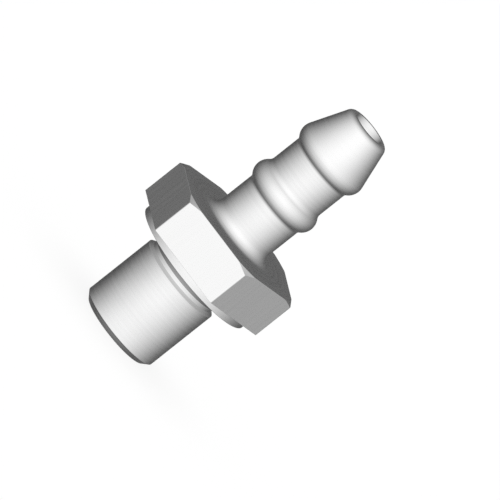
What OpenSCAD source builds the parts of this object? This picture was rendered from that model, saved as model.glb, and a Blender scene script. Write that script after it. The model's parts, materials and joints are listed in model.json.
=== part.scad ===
// Hose nipple, turned in one piece from hexagon bar. A plain stub goes into the port, a collar seals
// on the port's face, a hexagon takes the wrench, and a tail with a round bead and a bulb head takes
// the hose. A bore runs right through. The axis is Z: the collar's sealing face lies at Z = 0, with
// the stub below it and the tail above it. Sizes are in millimetres.

/* [Port stub] */
// Diameter of the plain stub
stub_d = 8; // [6:0.1:10]
// Length of the stub, from the collar's sealing face to its free end
stub_len = 8.3; // [4:0.1:16]
// Chamfer round the stub's free end, at 45 degrees
end_chamfer = 0.5; // [0.1:0.02:1]

/* [Relief groove] */
// Depth of the groove between the stub and the collar, on the radius
groove_depth = 0.35; // [0.1:0.05:0.6]
// Length of the short slope from the stub down to the groove's floor
groove_entry = 0.24; // [0.1:0.02:0.6]
// Length of the groove's level floor
groove_floor = 0.34; // [0.1:0.02:1]
// Length of the long slope from the floor up to the collar's face
groove_exit = 0.86; // [0.4:0.02:1.2]
// Angle of the long slope to the axis
exit_angle = 35; // [20:1:45]

/* [Collar and hexagon] */
// Diameter of the sealing collar, less than the hexagon's width
collar_d = 12.5; // [11:0.1:12.9]
// Thickness of the collar
collar_t = 0.7; // [0.3:0.1:2]
// Width of the hexagon across its flats
hex_af = 13; // [12.6:0.1:17]
// Thickness of the hexagon
hex_t = 4; // [2:0.1:8]
// Diameter at which the corner chamfer starts on the hexagon's tail side
chamfer_d = 14; // [13.2:0.1:14.8]
// Slope of that chamfer, down from the hexagon's face
chamfer_angle = 30; // [15:1:45]

/* [Hose tail] */
// Diameter of the neck, which is the hose's inside diameter
neck_d = 6; // [5:0.1:8]
// Fillet where the neck leaves the hexagon
root_round = 0.95; // [0.3:0.05:1.5]
// Height of the bead and of the head over the neck
crest_h = 0.5; // [0.3:0.05:0.9]
// Distance from the hexagon's face to the bead's crest
bead_at = 5; // [3.5:0.1:8]
// Radius of the bead's round section
bead_round = 1.2; // [0.9:0.05:1.5]
// Fillet that leads from the bead to the neck on the head's side
bead_runout = 0.75; // [0.2:0.05:1]
// Distance from the bead's crest to the head's crest
head_at = 5; // [3:0.1:8]
// Radius of the head's round section
head_round = 1.2; // [0.9:0.05:1.5]
// Distance from the head's crest to the tip
tip_at = 4; // [3:0.1:6]
// Angle of the head's cone to the axis
cone_angle = 19; // [10:1:24]
// Radius of the tip's rounded lip
lip_round = 0.6; // [0.2:0.05:0.8]

/* [Bore] */
// Diameter of the bore
bore_d = 3; // [2:0.1:3.6]

/* [Hidden] */
$fn = 128;
// Largest turn between two neighbouring points of an arc, in degrees
arc_step = 5;
// How far a cutter or a blank passes the surface that it has to clear
past = 1;

stub_r = stub_d / 2;
groove_r = stub_r - groove_depth;
collar_r = collar_d / 2;
chamfer_r = chamfer_d / 2;
neck_r = neck_d / 2;
crest_r = neck_r + crest_h;

exit_z = -groove_exit;
floor_z = exit_z - groove_floor;
entry_z = floor_z - groove_entry;
hex_z = collar_t;
face_z = hex_z + hex_t;
bead_z = face_z + bead_at;
head_z = bead_z + head_at;
tip_z = head_z + tip_at;

// The hexagon's corners lie at this radius, and the turned blank is wider there
hex_corner_r = hex_af / 2 / cos(30);
blank_r = hex_corner_r + past;

// Points of an arc, as [radius, height]. Angles are counted from straight out of the axis.
function arc(centre, r, from, to) =
    let (steps = ceil(abs(to - from) / arc_step))
    [for (i = [0:steps])
        let (a = from + (to - from) * i / steps)
        centre + r * [cos(a), sin(a)]];

// Angle at which a round crest, reaching crest_r at the given radius of section, meets the neck
function crest_foot(r) = acos((neck_r - crest_r + r) / r);

// Stub: end chamfer, plain length, and the groove's entry, floor and exit up to the collar's face
function stub_outline() = [
    [0, -stub_len],
    [stub_r - end_chamfer, -stub_len],
    [stub_r, end_chamfer - stub_len],
    [stub_r, entry_z],
    [groove_r, floor_z],
    [groove_r, exit_z],
    [groove_r + groove_exit * tan(exit_angle), 0]];

// Collar, then the blank round the hexagon with the cone that chamfers the corners
function collar_outline() = [
    [collar_r, 0],
    [collar_r, hex_z],
    [blank_r, hex_z],
    [blank_r, face_z - (blank_r - chamfer_r) * tan(chamfer_angle)],
    [chamfer_r, face_z]];

// Fillet at the neck's root, tangent to the hexagon's face and to the neck
function root_outline() = arc([neck_r, face_z] + root_round * [1, 1], root_round, 270, 180);

// Bead: a round crest with a sharp foot toward the hexagon and a fillet toward the head
function bead_outline() =
    let (centre = [crest_r - bead_round, bead_z],
         reach = bead_round + bead_runout,
         front = acos((neck_r + bead_runout - centre.x) / reach),
         runout = centre + reach * [cos(front), sin(front)])
    concat(arc(centre, bead_round, -crest_foot(bead_round), front),
           arc(runout, bead_runout, 180 + front, 180));

// Head: the same round crest, running on into a cone and a rounded lip at the tip
function head_outline() =
    let (centre = [crest_r - head_round, head_z],
         out = [cos(cone_angle), sin(cone_angle)],
         lip_z = tip_z - lip_round,
         lip_r = (centre * out + head_round - lip_round - lip_z * out.y) / out.x)
    concat(arc(centre, head_round, -crest_foot(head_round), cone_angle),
           arc([lip_r, lip_z], lip_round, cone_angle, 90),
           [[0, tip_z]]);

// All that the lathe turns, in one outline from the stub's end to the tip
module turned_blank() {
    rotate_extrude()
        polygon(concat(stub_outline(), collar_outline(), root_outline(), bead_outline(), head_outline()));
}

// The bar that the piece is turned from, with two of its flats square to Y
module hexagon_bar() {
    translate([0, 0, -stub_len - past])
        cylinder(r = hex_corner_r, h = stub_len + tip_z + 2 * past, $fn = 6);
}

module through_bore() {
    translate([0, 0, -stub_len - past])
        cylinder(d = bore_d, h = stub_len + tip_z + 2 * past);
}

module hose_nipple() {
    color("silver")
        difference() {
            intersection() {
                turned_blank();
                hexagon_bar();
            }
            through_bore();
        }
}

hose_nipple();
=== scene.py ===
# %% [markdown]
# # A turned steel hose nipple
#
# The part is a short fitting that joins a hose to a port. One piece of hexagon bar is turned on a lathe
# to make it: a plain stub at one end, a hose tail with a bead and a bulb head at the other, and a
# collar and a wrench hexagon between them. A bore runs through.
#
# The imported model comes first. It fixes where everything is, in metres, and this script dresses it: a
# finer surface with broken edges goes over the plain solid, and gets its steel, its floor and its light.

# %% Load the frame
import json
import math

import bpy
import numpy as np
from mathutils import Matrix, Vector


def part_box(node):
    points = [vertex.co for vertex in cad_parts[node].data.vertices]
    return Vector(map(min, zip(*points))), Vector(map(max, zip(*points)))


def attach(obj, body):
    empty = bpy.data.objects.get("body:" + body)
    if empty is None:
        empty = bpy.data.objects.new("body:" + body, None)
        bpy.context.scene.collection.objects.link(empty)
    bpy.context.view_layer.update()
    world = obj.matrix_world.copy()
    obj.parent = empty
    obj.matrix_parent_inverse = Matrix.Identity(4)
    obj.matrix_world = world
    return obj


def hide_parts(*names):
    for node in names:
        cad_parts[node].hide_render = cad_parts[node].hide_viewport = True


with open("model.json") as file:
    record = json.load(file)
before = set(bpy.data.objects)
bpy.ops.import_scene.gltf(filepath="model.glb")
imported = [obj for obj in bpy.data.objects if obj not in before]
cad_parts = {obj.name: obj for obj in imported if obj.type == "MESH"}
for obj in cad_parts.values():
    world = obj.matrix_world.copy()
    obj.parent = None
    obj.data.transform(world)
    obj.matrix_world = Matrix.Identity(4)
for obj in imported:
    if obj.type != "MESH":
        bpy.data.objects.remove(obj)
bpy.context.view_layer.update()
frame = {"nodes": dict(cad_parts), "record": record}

MM = 0.001
scene = bpy.context.scene
print("Solid parts of the frame:", list(frame["nodes"]))

# %% [markdown]
# ## Sizes
#
# A turned part is described by its outline: half of its section, as radius against height. The sizes
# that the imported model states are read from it: its box gives both ends and the hexagon's width, and
# its mounts give the bore and the stub. The others are the lathe hand's own sizes, in millimetres, and
# they repeat the solid model's, so that the dressed surface lies on the solid one.

# %% Sizes from the frame
mounts = {mount["name"]: mount for mount in frame["record"]["mounts"]}
low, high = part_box("hose_nipple")

stub_end_z = low[2] / MM
tip_z = high[2] / MM
flat_r = high[1] / MM
bore_r = mounts["flow_bore"]["dims"]["r_mm"]
stub_r = mounts["port_stub"]["dims"]["r_mm"]
print("Length %.2f mm, hexagon %.2f mm across its flats" % (tip_z - stub_end_z, 2 * flat_r))

# %% Sizes of the outline, in millimetres and degrees
end_chamfer = 0.5
groove_depth = 0.35
groove_entry = 0.24
groove_floor = 0.34
groove_exit = 0.86
exit_angle = 35

collar_r = 6.25
collar_t = 0.7
hexagon_t = 4.0
crown_r = 7.0
crown_angle = 30

neck_r = 3.0
crest_r = 3.5
root_round = 0.95
bead_at = 5.0
bead_round = 1.2
bead_runout = 0.75
head_at = 5.0
head_round = 1.2
cone_angle = 19
lip_round = 0.6

face_z = collar_t + hexagon_t
bead_z = face_z + bead_at
head_z = bead_z + head_at
print("Hexagon's face at %.1f mm, bead at %.1f mm, head at %.1f mm" % (face_z, bead_z, head_z))

# %% [markdown]
# No real edge is perfectly sharp. A lathe hand breaks each one by a touch of the file, the hexagon's
# lower edge by the least, and drawn bar has slightly round corners. The tool's nose is round as well,
# and leaves a small fillet at the foot of the bead and of the head. Such small faces could come from a
# Bevel modifier. Here they are points of the outline, so each edge gets the width that it should have.

# %% Edges
edge_break = 0.03
under_break = 0.01
corner_round = 0.12
foot_round = 0.4
print("Edges broken by %.2f and %.2f mm" % (edge_break, under_break))
print("Corners of the bar round by %.2f mm, feet by %.2f mm" % (corner_round, foot_round))

# %% [markdown]
# ## The outline
#
# Lines and arcs make up the outline, so it needs just two helpers. Each returns points as an array of
# radius and height. The arcs are set tangent to their neighbours, as the tool's round nose leaves them.
# The last number of a line says into how many rows of faces it is cut.

# %% Helpers for lines and arcs
ARC_STEP = 4.0


def line(start, end, steps=1):
    """Points on a straight line: the start plus equal shares of the way to the end."""
    start, end = np.array(start, float), np.array(end, float)
    return start + np.linspace(0, 1, steps + 1)[:, None] * (end - start)


def arc(centre, radius, first, last):
    """Points on a circle: centre plus radius times cosine and sine, from one angle in degrees to
    another. Angles are counted from straight out of the axis."""
    steps = math.ceil(abs(last - first) / ARC_STEP)
    angle = np.radians(np.linspace(first, last, steps + 1))
    return np.array(centre) + radius * np.stack([np.cos(angle), np.sin(angle)], axis=1)


print("A quarter of a circle has", len(arc([0, 0], 1, 0, 90)), "points")

# %% [markdown]
# The stub's stretch runs from the bore's lower mouth, over the end face and its chamfer, up the stub,
# through the relief groove and over the collar. The groove lets the collar seal flat on the port,
# because no tool can turn a perfectly sharp inside corner.

# %% Outline of the stub and the collar
groove_r = stub_r - groove_depth
floor_top = -groove_exit
floor_low = floor_top - groove_floor
groove_low = floor_low - groove_entry
groove_top_r = groove_r + groove_exit * math.tan(math.radians(exit_angle))

stub_outline = np.concatenate([
    line([bore_r, stub_end_z + edge_break], [bore_r + edge_break, stub_end_z]),
    line([bore_r + edge_break, stub_end_z], [stub_r - end_chamfer, stub_end_z], 4),
    line([stub_r - end_chamfer, stub_end_z], [stub_r, stub_end_z + end_chamfer], 2),
    line([stub_r, stub_end_z + end_chamfer], [stub_r, groove_low], 12),
    line([stub_r, groove_low], [groove_r, floor_low], 2),
    line([groove_r, floor_low], [groove_r, floor_top], 2),
    line([groove_r, floor_top], [groove_top_r, 0], 4),
    line([groove_top_r, 0], [collar_r - edge_break, 0], 5),
    line([collar_r - edge_break, 0], [collar_r, edge_break]),
    line([collar_r, edge_break], [collar_r, collar_t], 3),
])
print("Stub and collar:", len(stub_outline), "points")

# %% [markdown]
# The tail's stretch runs from the hexagon's face to the tip and back down the bore. A fillet leads into
# the neck. The bead has a steep foot toward the hexagon, which stops the hose from sliding off, and a
# soft fillet toward the tip. The head has the same foot and crest, and then a cone that the hose is
# pushed over, which ends in a rounded lip. In both feet the round nose of the tool leaves a small fillet.

# %% Arcs of the tail
def toward(angle):
    """Unit step, as radius and height, at an angle in degrees: its cosine and its sine."""
    return np.array([math.cos(math.radians(angle)), math.sin(math.radians(angle))])


def foot(centre, radius):
    """Fillet from the neck to a round crest, and the angle at which it meets the crest. Its centre is
    one fillet radius off the neck, and the sum of both radii from the crest's centre."""
    out = neck_r + foot_round - centre[0]
    down = math.sqrt((radius + foot_round) ** 2 - out ** 2)
    meets = math.degrees(math.atan2(down, out))
    return arc([neck_r + foot_round, centre[1] - down], foot_round, 180, 180 - meets), -meets


bead_centre = np.array([crest_r - bead_round, bead_z])
reach = bead_round + bead_runout
front = math.degrees(math.acos((neck_r + bead_runout - bead_centre[0]) / reach))

head_centre = np.array([crest_r - head_round, head_z])
cone_out = toward(cone_angle)
lip_z = tip_z - lip_round
lip_r = (head_centre @ cone_out + head_round - lip_round - lip_z * cone_out[1]) / cone_out[0]

root_arc = arc([neck_r + root_round, face_z + root_round], root_round, 270, 180)
bead_foot, bead_start = foot(bead_centre, bead_round)
bead_crest = arc(bead_centre, bead_round, bead_start, front)
bead_fillet = arc(bead_centre + reach * toward(front), bead_runout, 180 + front, 180)
head_foot, head_start = foot(head_centre, head_round)
head_crest = arc(head_centre, head_round, head_start, cone_angle)
lip_arc = arc([lip_r, lip_z], lip_round, cone_angle, 90)
print("The bead's crest goes from %.1f to %.1f degrees" % (bead_start, front))

# %% Outline of the tail and the bore
tail_outline = np.concatenate([
    root_arc,
    line(root_arc[-1], bead_foot[0], 6),
    bead_foot,
    bead_crest,
    bead_fillet,
    line(bead_fillet[-1], head_foot[0], 6),
    head_foot,
    head_crest,
    line(head_crest[-1], lip_arc[0], 8),
    lip_arc,
    line(lip_arc[-1], [bore_r + edge_break, tip_z]),
    line([bore_r + edge_break, tip_z], [bore_r, tip_z - edge_break]),
    line([bore_r, tip_z - edge_break], [bore_r, stub_end_z + edge_break], 26)[:-1],
])
print("Tail and bore:", len(tail_outline), "points")

# %% [markdown]
# ## The hexagon
#
# Round the hexagon the radius depends on the angle as well. A flat at distance d from the axis is
# d / cos(angle from its middle) away. Near a corner a small circle takes over. The columns of the grid
# stand close together at the corners, so that the round there is smooth and the flats stay flat.

# %% Columns round the axis, and the hexagon's radius at each
SIDES = 6
SECTOR = 360 / SIDES
COLUMNS_ON_HALF_FLAT = 28
CORNER_GUARD = 0.35

half_side = (flat_r - corner_round) * math.tan(math.radians(SECTOR / 2))
round_edge = SECTOR / 2 - math.degrees(math.atan(half_side / flat_r))
guard = round_edge + CORNER_GUARD

side = np.linspace(guard, SECTOR / 2, COLUMNS_ON_HALF_FLAT + 1)
corner = round_edge * np.array([-1, -0.5, 0, 0.5, 1])
sector = np.concatenate([-side[-2::-1], corner, side])
angles = (np.arange(SIDES)[:, None] * SECTOR + sector).ravel()


def hexagon_radius(angle):
    """Distance from the axis to the hexagon at angles in degrees, with a corner at zero: the flat's
    distance over a cosine, or near a corner the far crossing of the ray with the corner's circle."""
    off = (angle + SECTOR / 2) % SECTOR - SECTOR / 2
    flat = flat_r / np.cos(np.radians(SECTOR / 2 - np.abs(off)))
    middle = (flat_r - corner_round) / math.cos(math.radians(SECTOR / 2))
    across = middle * np.sin(np.radians(off))
    inside = np.clip(corner_round ** 2 - across ** 2, 0, None)
    ball = middle * np.cos(np.radians(off)) + np.sqrt(inside)
    return np.where(np.abs(off) < round_edge, ball, flat)


bar_r = hexagon_radius(angles)
print("Columns:", len(angles), "- corner at %.3f mm, flat at %.3f mm" % (bar_r.max(), bar_r.min()))

# %% [markdown]
# The tail side of the hexagon is crowned: a 30 degree cone takes the corners off. Where the cone misses
# the flats, only the broken edge is left. One straight row of faces does both jobs: it starts on the
# flat, lower where the cone cuts deeper, and ends on the top face.

# %% Rows of the hexagon
def between(start, end, steps):
    """Rows from one ring to another, leaving the first out: equal shares of the way, for each column."""
    share = np.linspace(0, 1, steps + 1)[1:, None, None]
    return start + share * (end - start)


def ring(radius, height):
    """One row of the grid: radius and height for each column. The angles lend it their number only."""
    return np.stack(np.broadcast_arrays(radius, height, angles)[:2], axis=-1).astype(float)


cut = np.clip(bar_r - crown_r, 0, None)
crown_low_z = face_z - cut * math.tan(math.radians(crown_angle)) - edge_break

collar_top = ring(collar_r, collar_t)
under_edge = ring(bar_r - under_break, collar_t)
flat_low = ring(bar_r, collar_t + under_break)
flat_high = ring(bar_r, crown_low_z)
crown_top = ring(bar_r - cut - edge_break, face_z)
root_start = ring(*root_arc[0])

underside = between(collar_top, under_edge, 3)
low_break = between(under_edge, flat_low, 1)
flats = between(flat_low, flat_high, 8)
crown = between(flat_high, crown_top, 4)
top_face = between(crown_top, root_start, 8)[:-1]
hexagon_rows = np.concatenate([underside, low_break, flats, crown, top_face])
print("Rows on the hexagon:", len(hexagon_rows))

# %% [markdown]
# ## One closed surface
#
# The stub's rows, the hexagon's rows and the tail's rows are stacked into one grid of rows and columns.
# Both ways it closes on itself, like a ring doughnut, because the bore runs through. Points that two
# stretches share are kept once. A lathe part could also be a Screw modifier on its outline, but that
# gives round sections only, and the hexagon needs its own radius in each column.
#
# Each point also keeps how far along the outline the tool has travelled, in millimetres. The tool marks
# are spaced by it, so they run as rings on faces, cones and fillets alike.

# %% Stack the rows
SAME_POINT = 1e-6


def rows_of(outline):
    """Rows for a turned stretch: each outline point repeated for every column. A point that repeats
    the one before it is dropped."""
    step = np.linalg.norm(np.diff(outline, axis=0), axis=1)
    kept = outline[np.concatenate([[True], step > SAME_POINT])]
    return np.repeat(kept[:, None, :], len(angles), axis=1)


def travel(rows):
    """Distance that the tool has travelled at each point: the running sum of the steps between rows."""
    step = np.linalg.norm(np.diff(rows, axis=0), axis=2)
    return np.concatenate([np.zeros((1, rows.shape[1])), np.cumsum(step, axis=0)])


stub_rows, tail_rows = rows_of(stub_outline), rows_of(tail_outline)
grid = np.concatenate([stub_rows, hexagon_rows, tail_rows])

facing = np.abs(hexagon_rows[:, :, 0] - collar_r)
feed = np.concatenate([travel(stub_rows) - travel(stub_rows)[-1], facing, travel(tail_rows)])
print("Grid: %d rows by %d columns" % grid.shape[:2])

# %% [markdown]
# The grid becomes a mesh with whole-array steps: x and y are the radius times cosine and sine of the
# angle. Edges that turn by more than 20 degrees stay sharp to the eye and the rest are shaded smooth,
# which is how a machined surface looks.

# %% Build the mesh
SHARP_ANGLE = math.radians(20)


def closed_grid_mesh(name, grid, angles):
    """Mesh of a grid that closes both ways: each face joins a point, its neighbour on the row, and the
    same two on the next row, counted round with the remainder."""
    rows, columns = grid.shape[:2]
    turn = np.radians(angles)
    points = np.stack([grid[..., 0] * np.cos(turn), grid[..., 0] * np.sin(turn), grid[..., 1]], axis=-1)
    row, column = np.mgrid[0:rows, 0:columns]
    next_row, next_column = (row + 1) % rows, (column + 1) % columns
    corners = [(row, column), (row, next_column), (next_row, next_column), (next_row, column)]
    faces = np.stack([r * columns + c for r, c in corners], axis=-1).reshape(-1, 4)

    mesh = bpy.data.meshes.new(name)
    mesh.vertices.add(rows * columns)
    mesh.vertices.foreach_set("co", (points * MM).astype(np.float32).ravel())
    mesh.loops.add(faces.size)
    mesh.loops.foreach_set("vertex_index", faces.astype(np.int32).ravel())
    mesh.polygons.add(len(faces))
    mesh.polygons.foreach_set("loop_start", np.arange(0, faces.size, 4, dtype=np.int32))
    mesh.update(calc_edges=True)
    mesh.validate()
    return mesh


body_mesh = closed_grid_mesh("hose_nipple_body", grid, angles)
body_mesh.polygons.foreach_set("use_smooth", np.ones(len(body_mesh.polygons), bool))
body_mesh.set_sharp_from_angle(angle=SHARP_ANGLE)

nipple = bpy.data.objects.new("hose_nipple_body", body_mesh)
scene.collection.objects.link(nipple)
print("Body:", 2 * len(body_mesh.polygons), "triangles")

# %% [markdown]
# Two things are written on the mesh for its finishes. The tool's travel becomes an attribute of the
# points. The faces of the hexagon's flats take the second material slot, because the lathe tool never
# touched them.

# %% Travel and finish, written on the mesh
feed_layer = body_mesh.attributes.new("feed_mm", "FLOAT", "POINT")
feed_layer.data.foreach_set("value", feed.astype(np.float32).ravel())

face_rows = np.repeat(np.arange(len(grid)), len(angles))
first_flat = len(stub_rows) + len(underside) + len(low_break) - 1
on_flat = (face_rows >= first_flat) & (face_rows < first_flat + len(flats))
body_mesh.polygons.foreach_set("material_index", on_flat.astype(np.int32))
print("Faces on the flats:", on_flat.sum(), "of", len(on_flat))

# %% [markdown]
# ## Helpers for materials
#
# Colours are written as the hex values that a colour picker shows, and Blender's sockets want linear
# light, so one function converts them. Another adds a node with its settings and its links.

# %% Colour and node helpers
def linear(hex_colour):
    """Linear RGBA of an sRGB hex colour: each channel over 255, through the sRGB curve."""
    value = np.array([int(hex_colour[i:i + 2], 16) for i in (1, 3, 5)]) / 255
    light = np.where(value <= 0.04045, value / 12.92, ((value + 0.055) / 1.055) ** 2.4)
    return (*light.tolist(), 1.0)


def add(tree, kind, inputs=(), **settings):
    """Adds a node, sets its properties, and fills its inputs: a socket is linked, a value is set."""
    node = tree.nodes.new(kind)
    for name, value in settings.items():
        setattr(node, name, value)
    for name, value in dict(inputs).items():
        if isinstance(value, bpy.types.NodeSocket):
            tree.links.new(value, node.inputs[name])
        else:
            node.inputs[name].default_value = value
    return node


def new_material(name):
    """An empty material with its output node, ready for a shader."""
    material = bpy.data.materials.new(name)
    material.use_nodes = True
    material.node_tree.nodes.clear()
    return material, material.node_tree, material.node_tree.nodes.new("ShaderNodeOutputMaterial")


print("Middle grey in linear light: %.3f" % linear("#808080")[0])

# %% [markdown]
# ## Steel with tool marks
#
# The part is free-cutting stainless steel, bright all over. Every finish of it is a metal with marks:
# tiny ups and downs that spread the light into a satin sheen, while a soft shape of the studio stays.
# The marks could be modelled, which takes thousands of rows, or painted as an image, which smears where
# the surface turns. Noise needs neither, so it drives a bump and shifts the roughness a little.

# %% Steel for any pattern of marks
SMOOTHEST = 0.25
ROUGHEST = 0.29
NOISE_LOW = 0.3
NOISE_HIGH = 0.7


def marked_steel(tree, output, marks, height, colour):
    """A metal whose bump is the marks times their height in millimetres. Its roughness goes from
    smoothest to roughest as the marks go through the range that noise mostly has."""
    bump = add(tree, "ShaderNodeBump", {"Height": marks, "Strength": 1.0, "Distance": height * MM})
    rough = add(tree, "ShaderNodeMapRange", {"Value": marks, "From Min": NOISE_LOW,
                                             "From Max": NOISE_HIGH, "To Min": SMOOTHEST,
                                             "To Max": ROUGHEST})
    steel = add(tree, "ShaderNodeBsdfPrincipled", {"Base Color": colour, "Metallic": 1.0,
                                                   "Roughness": rough.outputs["Result"],
                                                   "Normal": bump.outputs["Normal"]})
    tree.links.new(steel.outputs["BSDF"], output.inputs["Surface"])


print("Steel's roughness goes from %.2f to %.2f" % (SMOOTHEST, ROUGHEST))

# %% [markdown]
# ## Turned steel
#
# The lathe tool leaves rings about a tenth of a millimetre apart. They would be lost at this size, so
# they are drawn three times as coarse, and stay faint. The steel is a plain neutral grey, a metal all
# through, so its colour is that of its reflections, and a broad cloud keeps it from being dead even.

# %% Turned steel
STEEL = "#D8D8D8"
STEEL_DARK = "#CFCFCF"
CLOUD_SIZE = 2.5

# Real rings stand 0.1 mm apart. These are drawn coarser, to show.
RING_PITCH = 0.3
RING_HEIGHT = 0.007


def turned_steel():
    """Stainless steel off the lathe, bright with fine rings: noise along the tool's travel, one value
    for each ring pitch. Noise in object space gives the cloud."""
    material, tree, output = new_material("turned_stainless_steel")
    travelled = add(tree, "ShaderNodeAttribute", attribute_name="feed_mm").outputs["Fac"]
    rings = add(tree, "ShaderNodeTexNoise", {"W": travelled, "Scale": 1 / RING_PITCH, "Detail": 0.0},
                noise_dimensions="1D")
    where = add(tree, "ShaderNodeTexCoord").outputs["Object"]
    cloud = add(tree, "ShaderNodeTexNoise", {"Vector": where, "Scale": 1 / (CLOUD_SIZE * MM),
                                             "Detail": 2.0})
    tint = add(tree, "ShaderNodeMix", {"Factor": cloud.outputs["Fac"], "A": linear(STEEL_DARK),
                                       "B": linear(STEEL)}, data_type="RGBA")
    marked_steel(tree, output, rings.outputs["Fac"], RING_HEIGHT, tint.outputs["Result"])
    return material


nipple.data.materials.append(turned_steel())
print("First finish:", nipple.data.materials[0].name)

# %% [markdown]
# ## Drawn flats
#
# The hexagon's flats are the bar's own skin, which was pulled through a die. The die leaves fine lines
# along the bar, a few hundredths of a millimetre wide, and these too are drawn wider. The lines run
# straight along the bar on every flat, so one noise in object space does for all six: it is squeezed
# across the bar and stretched along it.

# %% Drawn steel on the flats
# Real lines are about 0.04 mm wide. These are drawn wider, to show.
LINE_WIDTH = 0.4
LINE_LENGTH = 6.0
LINE_HEIGHT = 0.007


def drawn_steel():
    """Stainless steel as it left the die, with faint straight lines: noise whose places are divided by
    a line's width across the bar and by its length along the bar."""
    material, tree, output = new_material("drawn_stainless_steel")
    where = add(tree, "ShaderNodeTexCoord").outputs["Object"]
    fine, long = 1 / (LINE_WIDTH * MM), 1 / (LINE_LENGTH * MM)
    stretched = add(tree, "ShaderNodeMapping", {"Vector": where, "Scale": (fine, fine, long)})
    lines = add(tree, "ShaderNodeTexNoise", {"Vector": stretched.outputs["Vector"], "Scale": 1.0,
                                             "Detail": 1.0})
    marked_steel(tree, output, lines.outputs["Fac"], LINE_HEIGHT, linear(STEEL))
    return material


nipple.data.materials.append(drawn_steel())
print("Second finish:", nipple.data.materials[1].name)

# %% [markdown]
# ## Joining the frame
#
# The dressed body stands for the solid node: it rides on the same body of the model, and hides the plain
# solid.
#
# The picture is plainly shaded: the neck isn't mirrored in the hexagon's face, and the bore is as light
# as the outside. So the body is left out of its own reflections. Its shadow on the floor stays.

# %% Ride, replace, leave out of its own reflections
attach(nipple, "root")
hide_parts("hose_nipple")
nipple.visible_glossy = False
print("The body replaces the solid hose_nipple")

# %% [markdown]
# ## The camera
#
# The picture has no perspective: parallel edges stay parallel, so the camera is orthographic. It looks
# a little down on the upright part and a little from its right, and it is rolled, so that the hose tail
# points up and to the right.

# %% Direction of the view
AZIMUTH = 5.8
ELEVATION = 11.8
LEAN = 38.4


def direction(turn, rise):
    """Unit vector toward a point so many degrees round from the front and so many up: sine and cosine
    of the turn, times the cosine of the rise, and the sine of the rise."""
    turn, rise = math.radians(turn), math.radians(rise)
    return Vector((math.sin(turn) * math.cos(rise), -math.cos(turn) * math.cos(rise), math.sin(rise)))


to_camera = direction(AZIMUTH, ELEVATION)
level = direction(AZIMUTH + 90, 0)
upright = to_camera.cross(level)
lean = math.radians(LEAN)
image_right = upright * math.cos(lean) + level * math.sin(lean)
image_up = upright * math.sin(lean) - level * math.cos(lean)
print("The camera looks from %.1f degrees round and %.1f degrees up" % (AZIMUTH, ELEVATION))

# %% [markdown]
# The frame's width in millimetres sets the scale. The pixel on which the origin falls, the middle of the
# collar's lower face, sets the place.

# %% Camera
FRAME_WIDTH = 40.88
IMAGE_SIZE = 500
ORIGIN_PIXEL = (193.9, 267.9)
DISTANCE = 200.0
NEAR = 1.0
FAR = 2000.0

pixel = FRAME_WIDTH / IMAGE_SIZE
right_shift = (IMAGE_SIZE / 2 - ORIGIN_PIXEL[0]) * pixel
up_shift = (ORIGIN_PIXEL[1] - IMAGE_SIZE / 2) * pixel
camera_place = (image_right * right_shift + image_up * up_shift + to_camera * DISTANCE) * MM
camera_turn = Matrix((image_right, image_up, to_camera)).transposed().to_4x4()

camera_data = bpy.data.cameras.new("camera")
camera_data.type = "ORTHO"
camera_data.ortho_scale = FRAME_WIDTH * MM
camera_data.clip_start = NEAR * MM
camera_data.clip_end = FAR * MM
camera = bpy.data.objects.new("camera", camera_data)
camera.matrix_world = Matrix.Translation(camera_place) @ camera_turn
scene.collection.objects.link(camera)
scene.camera = camera
print("The frame is %.1f mm wide, or %.1f pixels to the millimetre" % (FRAME_WIDTH, 1 / pixel))

# %% [markdown]
# ## The floor and the white surroundings
#
# The part stands on a pale floor. The picture's ground is plain white, so what the camera sees of the
# floor is six sevenths white and one seventh lit matt paint, which is the share that holds the shadow.
# Rays that mirrors and glass send out see the same white.

# %% Floor
FLOOR_PAINT = "#F7F7F7"
WHITE_SHARE = 0.86
FLOOR_HALF = 600.0
WHITE = (1, 1, 1, 1)


def seen_directly(tree):
    """One for camera, glossy and transmission rays, and zero for the rest."""
    rays = add(tree, "ShaderNodeLightPath").outputs
    either = add(tree, "ShaderNodeMath", {0: rays["Is Camera Ray"], 1: rays["Is Glossy Ray"]},
                 operation="MAXIMUM")
    return add(tree, "ShaderNodeMath", {0: either.outputs[0], 1: rays["Is Transmission Ray"]},
               operation="MAXIMUM").outputs[0]


def matt_white_floor():
    """Matt wall paint, which the light paints with its shadow, mixed with plain white by its share."""
    material, tree, output = new_material("matt_white_floor")
    share = add(tree, "ShaderNodeMath", {0: seen_directly(tree), 1: WHITE_SHARE}, operation="MULTIPLY")
    paint = add(tree, "ShaderNodeBsdfDiffuse", {"Color": linear(FLOOR_PAINT)})
    white = add(tree, "ShaderNodeEmission", {"Color": WHITE, "Strength": 1.0})
    mixed = add(tree, "ShaderNodeMixShader", {0: share.outputs[0], 1: paint.outputs[0],
                                              2: white.outputs[0]})
    tree.links.new(mixed.outputs[0], output.inputs["Surface"])
    return material


square = np.array([[-1, -1], [1, -1], [1, 1], [-1, 1]]) * FLOOR_HALF
floor_mesh = bpy.data.meshes.new("floor")
floor_mesh.from_pydata([(x * MM, y * MM, stub_end_z * MM) for x, y in square], [], [(0, 1, 2, 3)])
floor_mesh.materials.append(matt_white_floor())
floor = bpy.data.objects.new("floor", floor_mesh)
scene.collection.objects.link(floor)
print("Floor at %.1f mm, under the stub's end" % stub_end_z)

# %% [markdown]
# Past the floor's edge is the world. It shows the same white, and lights the rest more softly.

# %% World
WORLD_FILL = 0.6


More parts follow.
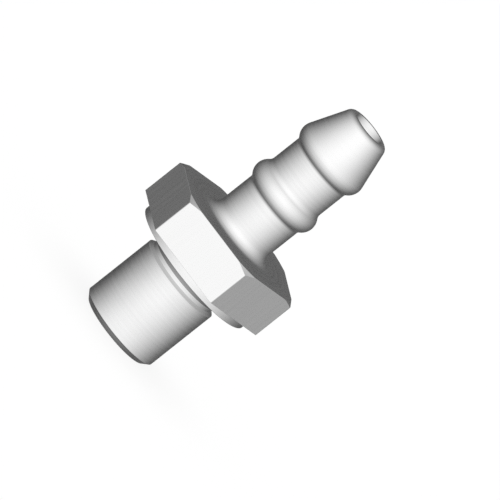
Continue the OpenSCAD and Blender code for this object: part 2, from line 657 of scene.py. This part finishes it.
def white_studio():
    """White at strength one where it is seen directly, and a weaker white as a fill light."""
    world = bpy.data.worlds.new("white_studio")
    world.use_nodes = True
    tree = world.node_tree
    tree.nodes.clear()
    output = tree.nodes.new("ShaderNodeOutputWorld")
    fill = add(tree, "ShaderNodeBackground", {"Color": WHITE, "Strength": WORLD_FILL})
    white = add(tree, "ShaderNodeBackground", {"Color": WHITE, "Strength": 1.0})
    mixed = add(tree, "ShaderNodeMixShader", {0: seen_directly(tree), 1: fill.outputs[0],
                                              2: white.outputs[0]})
    tree.links.new(mixed.outputs[0], output.inputs["Surface"])
    return world


scene.world = white_studio()
print("World:", scene.world.name)

# %% [markdown]
# ## The light tent
#
# A metal part shows what stands round it, so small bright parts are photographed inside a tent of
# cloth. The lamps stand outside it, on the camera's side, so the cloth glows there and falls off to dark
# behind the part. That gives the picture's look: light in the middle of each round, dark at its outline.
# A weak lamp behind keeps the back of the part from being black. Steeply below the part, toward the
# back, a dark card takes half of the light away, which darkens the stub's chamfer and both feet.

# %% Glow of the cloth
TENT_FRONT = 1.57
TENT_BACK = 0.02
FRONT_TURN = 10.0
FRONT_RISE = 22.0
FRONT_POWER = 1.2

REAR_GLOW = 0.15
REAR_TURN = 187.0
REAR_RISE = -28.0
REAR_POWER = 20.0

CARD_SHADE = 0.5
CARD_TURN = 186.0
CARD_RISE = -55.0
CARD_POWER = 14.0


def share_toward(tree, place, axis, power):
    """Share of a lamp's glow or a card's shade: one straight toward it and zero opposite, which is one
    plus the cosine of the angle to its axis, halved and raised to a power."""
    cosine = add(tree, "ShaderNodeVectorMath", {0: place, 1: tuple(axis)}, operation="DOT_PRODUCT")
    half = add(tree, "ShaderNodeMapRange", {"Value": cosine.outputs["Value"], "From Min": -1.0})
    share = add(tree, "ShaderNodeMath", {0: half.outputs["Result"], 1: power}, operation="POWER")
    return share.outputs[0]


def glowing_cloth():
    """The front lamp's glow goes from back to front strength. The card takes its share of that away,
    and the rear lamp's glow is added."""
    material, tree, output = new_material("glowing_tent_cloth")
    where = add(tree, "ShaderNodeTexCoord").outputs["Object"]
    place = add(tree, "ShaderNodeVectorMath", {0: where}, operation="NORMALIZE").outputs[0]
    front_glow = share_toward(tree, place, direction(FRONT_TURN, FRONT_RISE), FRONT_POWER)
    rear_glow = share_toward(tree, place, direction(REAR_TURN, REAR_RISE), REAR_POWER)
    shade = share_toward(tree, place, direction(CARD_TURN, CARD_RISE), CARD_POWER)
    lit = add(tree, "ShaderNodeMapRange", {"Value": front_glow, "To Min": TENT_BACK,
                                           "To Max": TENT_FRONT})
    left = add(tree, "ShaderNodeMapRange", {"Value": shade, "To Min": 1.0, "To Max": 1 - CARD_SHADE})
    dimmed = add(tree, "ShaderNodeMath", {0: lit.outputs["Result"], 1: left.outputs["Result"]},
                 operation="MULTIPLY")
    strength = add(tree, "ShaderNodeMath", {0: rear_glow, 1: REAR_GLOW, 2: dimmed.outputs[0]},
                   operation="MULTIPLY_ADD")
    glow = add(tree, "ShaderNodeEmission", {"Color": WHITE, "Strength": strength.outputs[0]})
    tree.links.new(glow.outputs[0], output.inputs["Surface"])
    return material


cloth = glowing_cloth()
cloth.cycles.emission_sampling = "NONE"
print("The cloth glows from %.2f behind to %.2f in front" % (TENT_BACK, TENT_FRONT))

# %% [markdown]
# The tent is there for the metal alone: the camera looks through it, and it throws no shadow. It closes
# below the floor too, as if the part stood on clear glass in the tent's middle, so the floor is kept out
# of the metal's reflections. Only the rays that the metal itself sends out look for the cloth, which
# gives a cleaner picture than aiming at it as at a lamp, so its emission sampling is off.

# %% Light tent
TENT_RADIUS = 500.0
TENT_STEP = 6


def sphere_mesh(name, radius):
    """A sphere about the origin: longitude by latitude, radius times cosines and sines. Both poles are
    closed by a fan of triangles."""
    longitude = np.radians(np.arange(0, 360, TENT_STEP))
    latitude = np.radians(np.arange(TENT_STEP - 90, 90, TENT_STEP))
    around, up = np.meshgrid(longitude, latitude)
    belt = [np.cos(up) * np.cos(around), np.cos(up) * np.sin(around), np.sin(up)]
    belt = radius * np.stack(belt, axis=-1)
    rows, columns = belt.shape[:2]
    points = np.concatenate([belt.reshape(-1, 3), [[0, 0, -radius], [0, 0, radius]]])

    row, column = np.mgrid[0:rows - 1, 0:columns]
    beside = (column + 1) % columns
    here, above = row * columns, (row + 1) * columns
    walls = np.stack([here + column, here + beside, above + beside, above + column], axis=-1)
    first, last = np.arange(columns), np.arange(columns) + (rows - 1) * columns
    under = np.stack([np.full(columns, rows * columns), np.roll(first, -1), first], axis=-1)
    over = np.stack([np.full(columns, rows * columns + 1), last, np.roll(last, -1)], axis=-1)

    mesh = bpy.data.meshes.new(name)
    faces = walls.reshape(-1, 4).tolist() + under.tolist() + over.tolist()
    mesh.from_pydata(points.tolist(), [], faces)
    return mesh


tent = bpy.data.objects.new("light_tent", sphere_mesh("light_tent", TENT_RADIUS * MM))
tent.data.materials.append(cloth)
tent.visible_camera = False
tent.visible_shadow = False
tent.visible_diffuse = False
tent.visible_transmission = False
floor.visible_glossy = False
scene.collection.objects.link(tent)
print("Tent:", len(tent.data.polygons), "faces, %.0f mm in radius" % TENT_RADIUS)

# %% [markdown]
# A broad lamp from above gives the floor its soft shadow. It is kept out of the metal's reflections.

# %% Lamp over the floor
LAMP_STRENGTH = 1.6
LAMP_WIDTH = 50

lamp_data = bpy.data.lights.new("overhead_lamp", "SUN")
lamp_data.energy = LAMP_STRENGTH
lamp_data.angle = math.radians(LAMP_WIDTH)
lamp = bpy.data.objects.new("overhead_lamp", lamp_data)
lamp.visible_glossy = False
scene.collection.objects.link(lamp)
print("Lamp over the floor, %d degrees wide" % LAMP_WIDTH)

# %% [markdown]
# ## Finish
#
# Colours show as they are written with the Standard view.

# %% View settings
scene.view_settings.view_transform = "Standard"
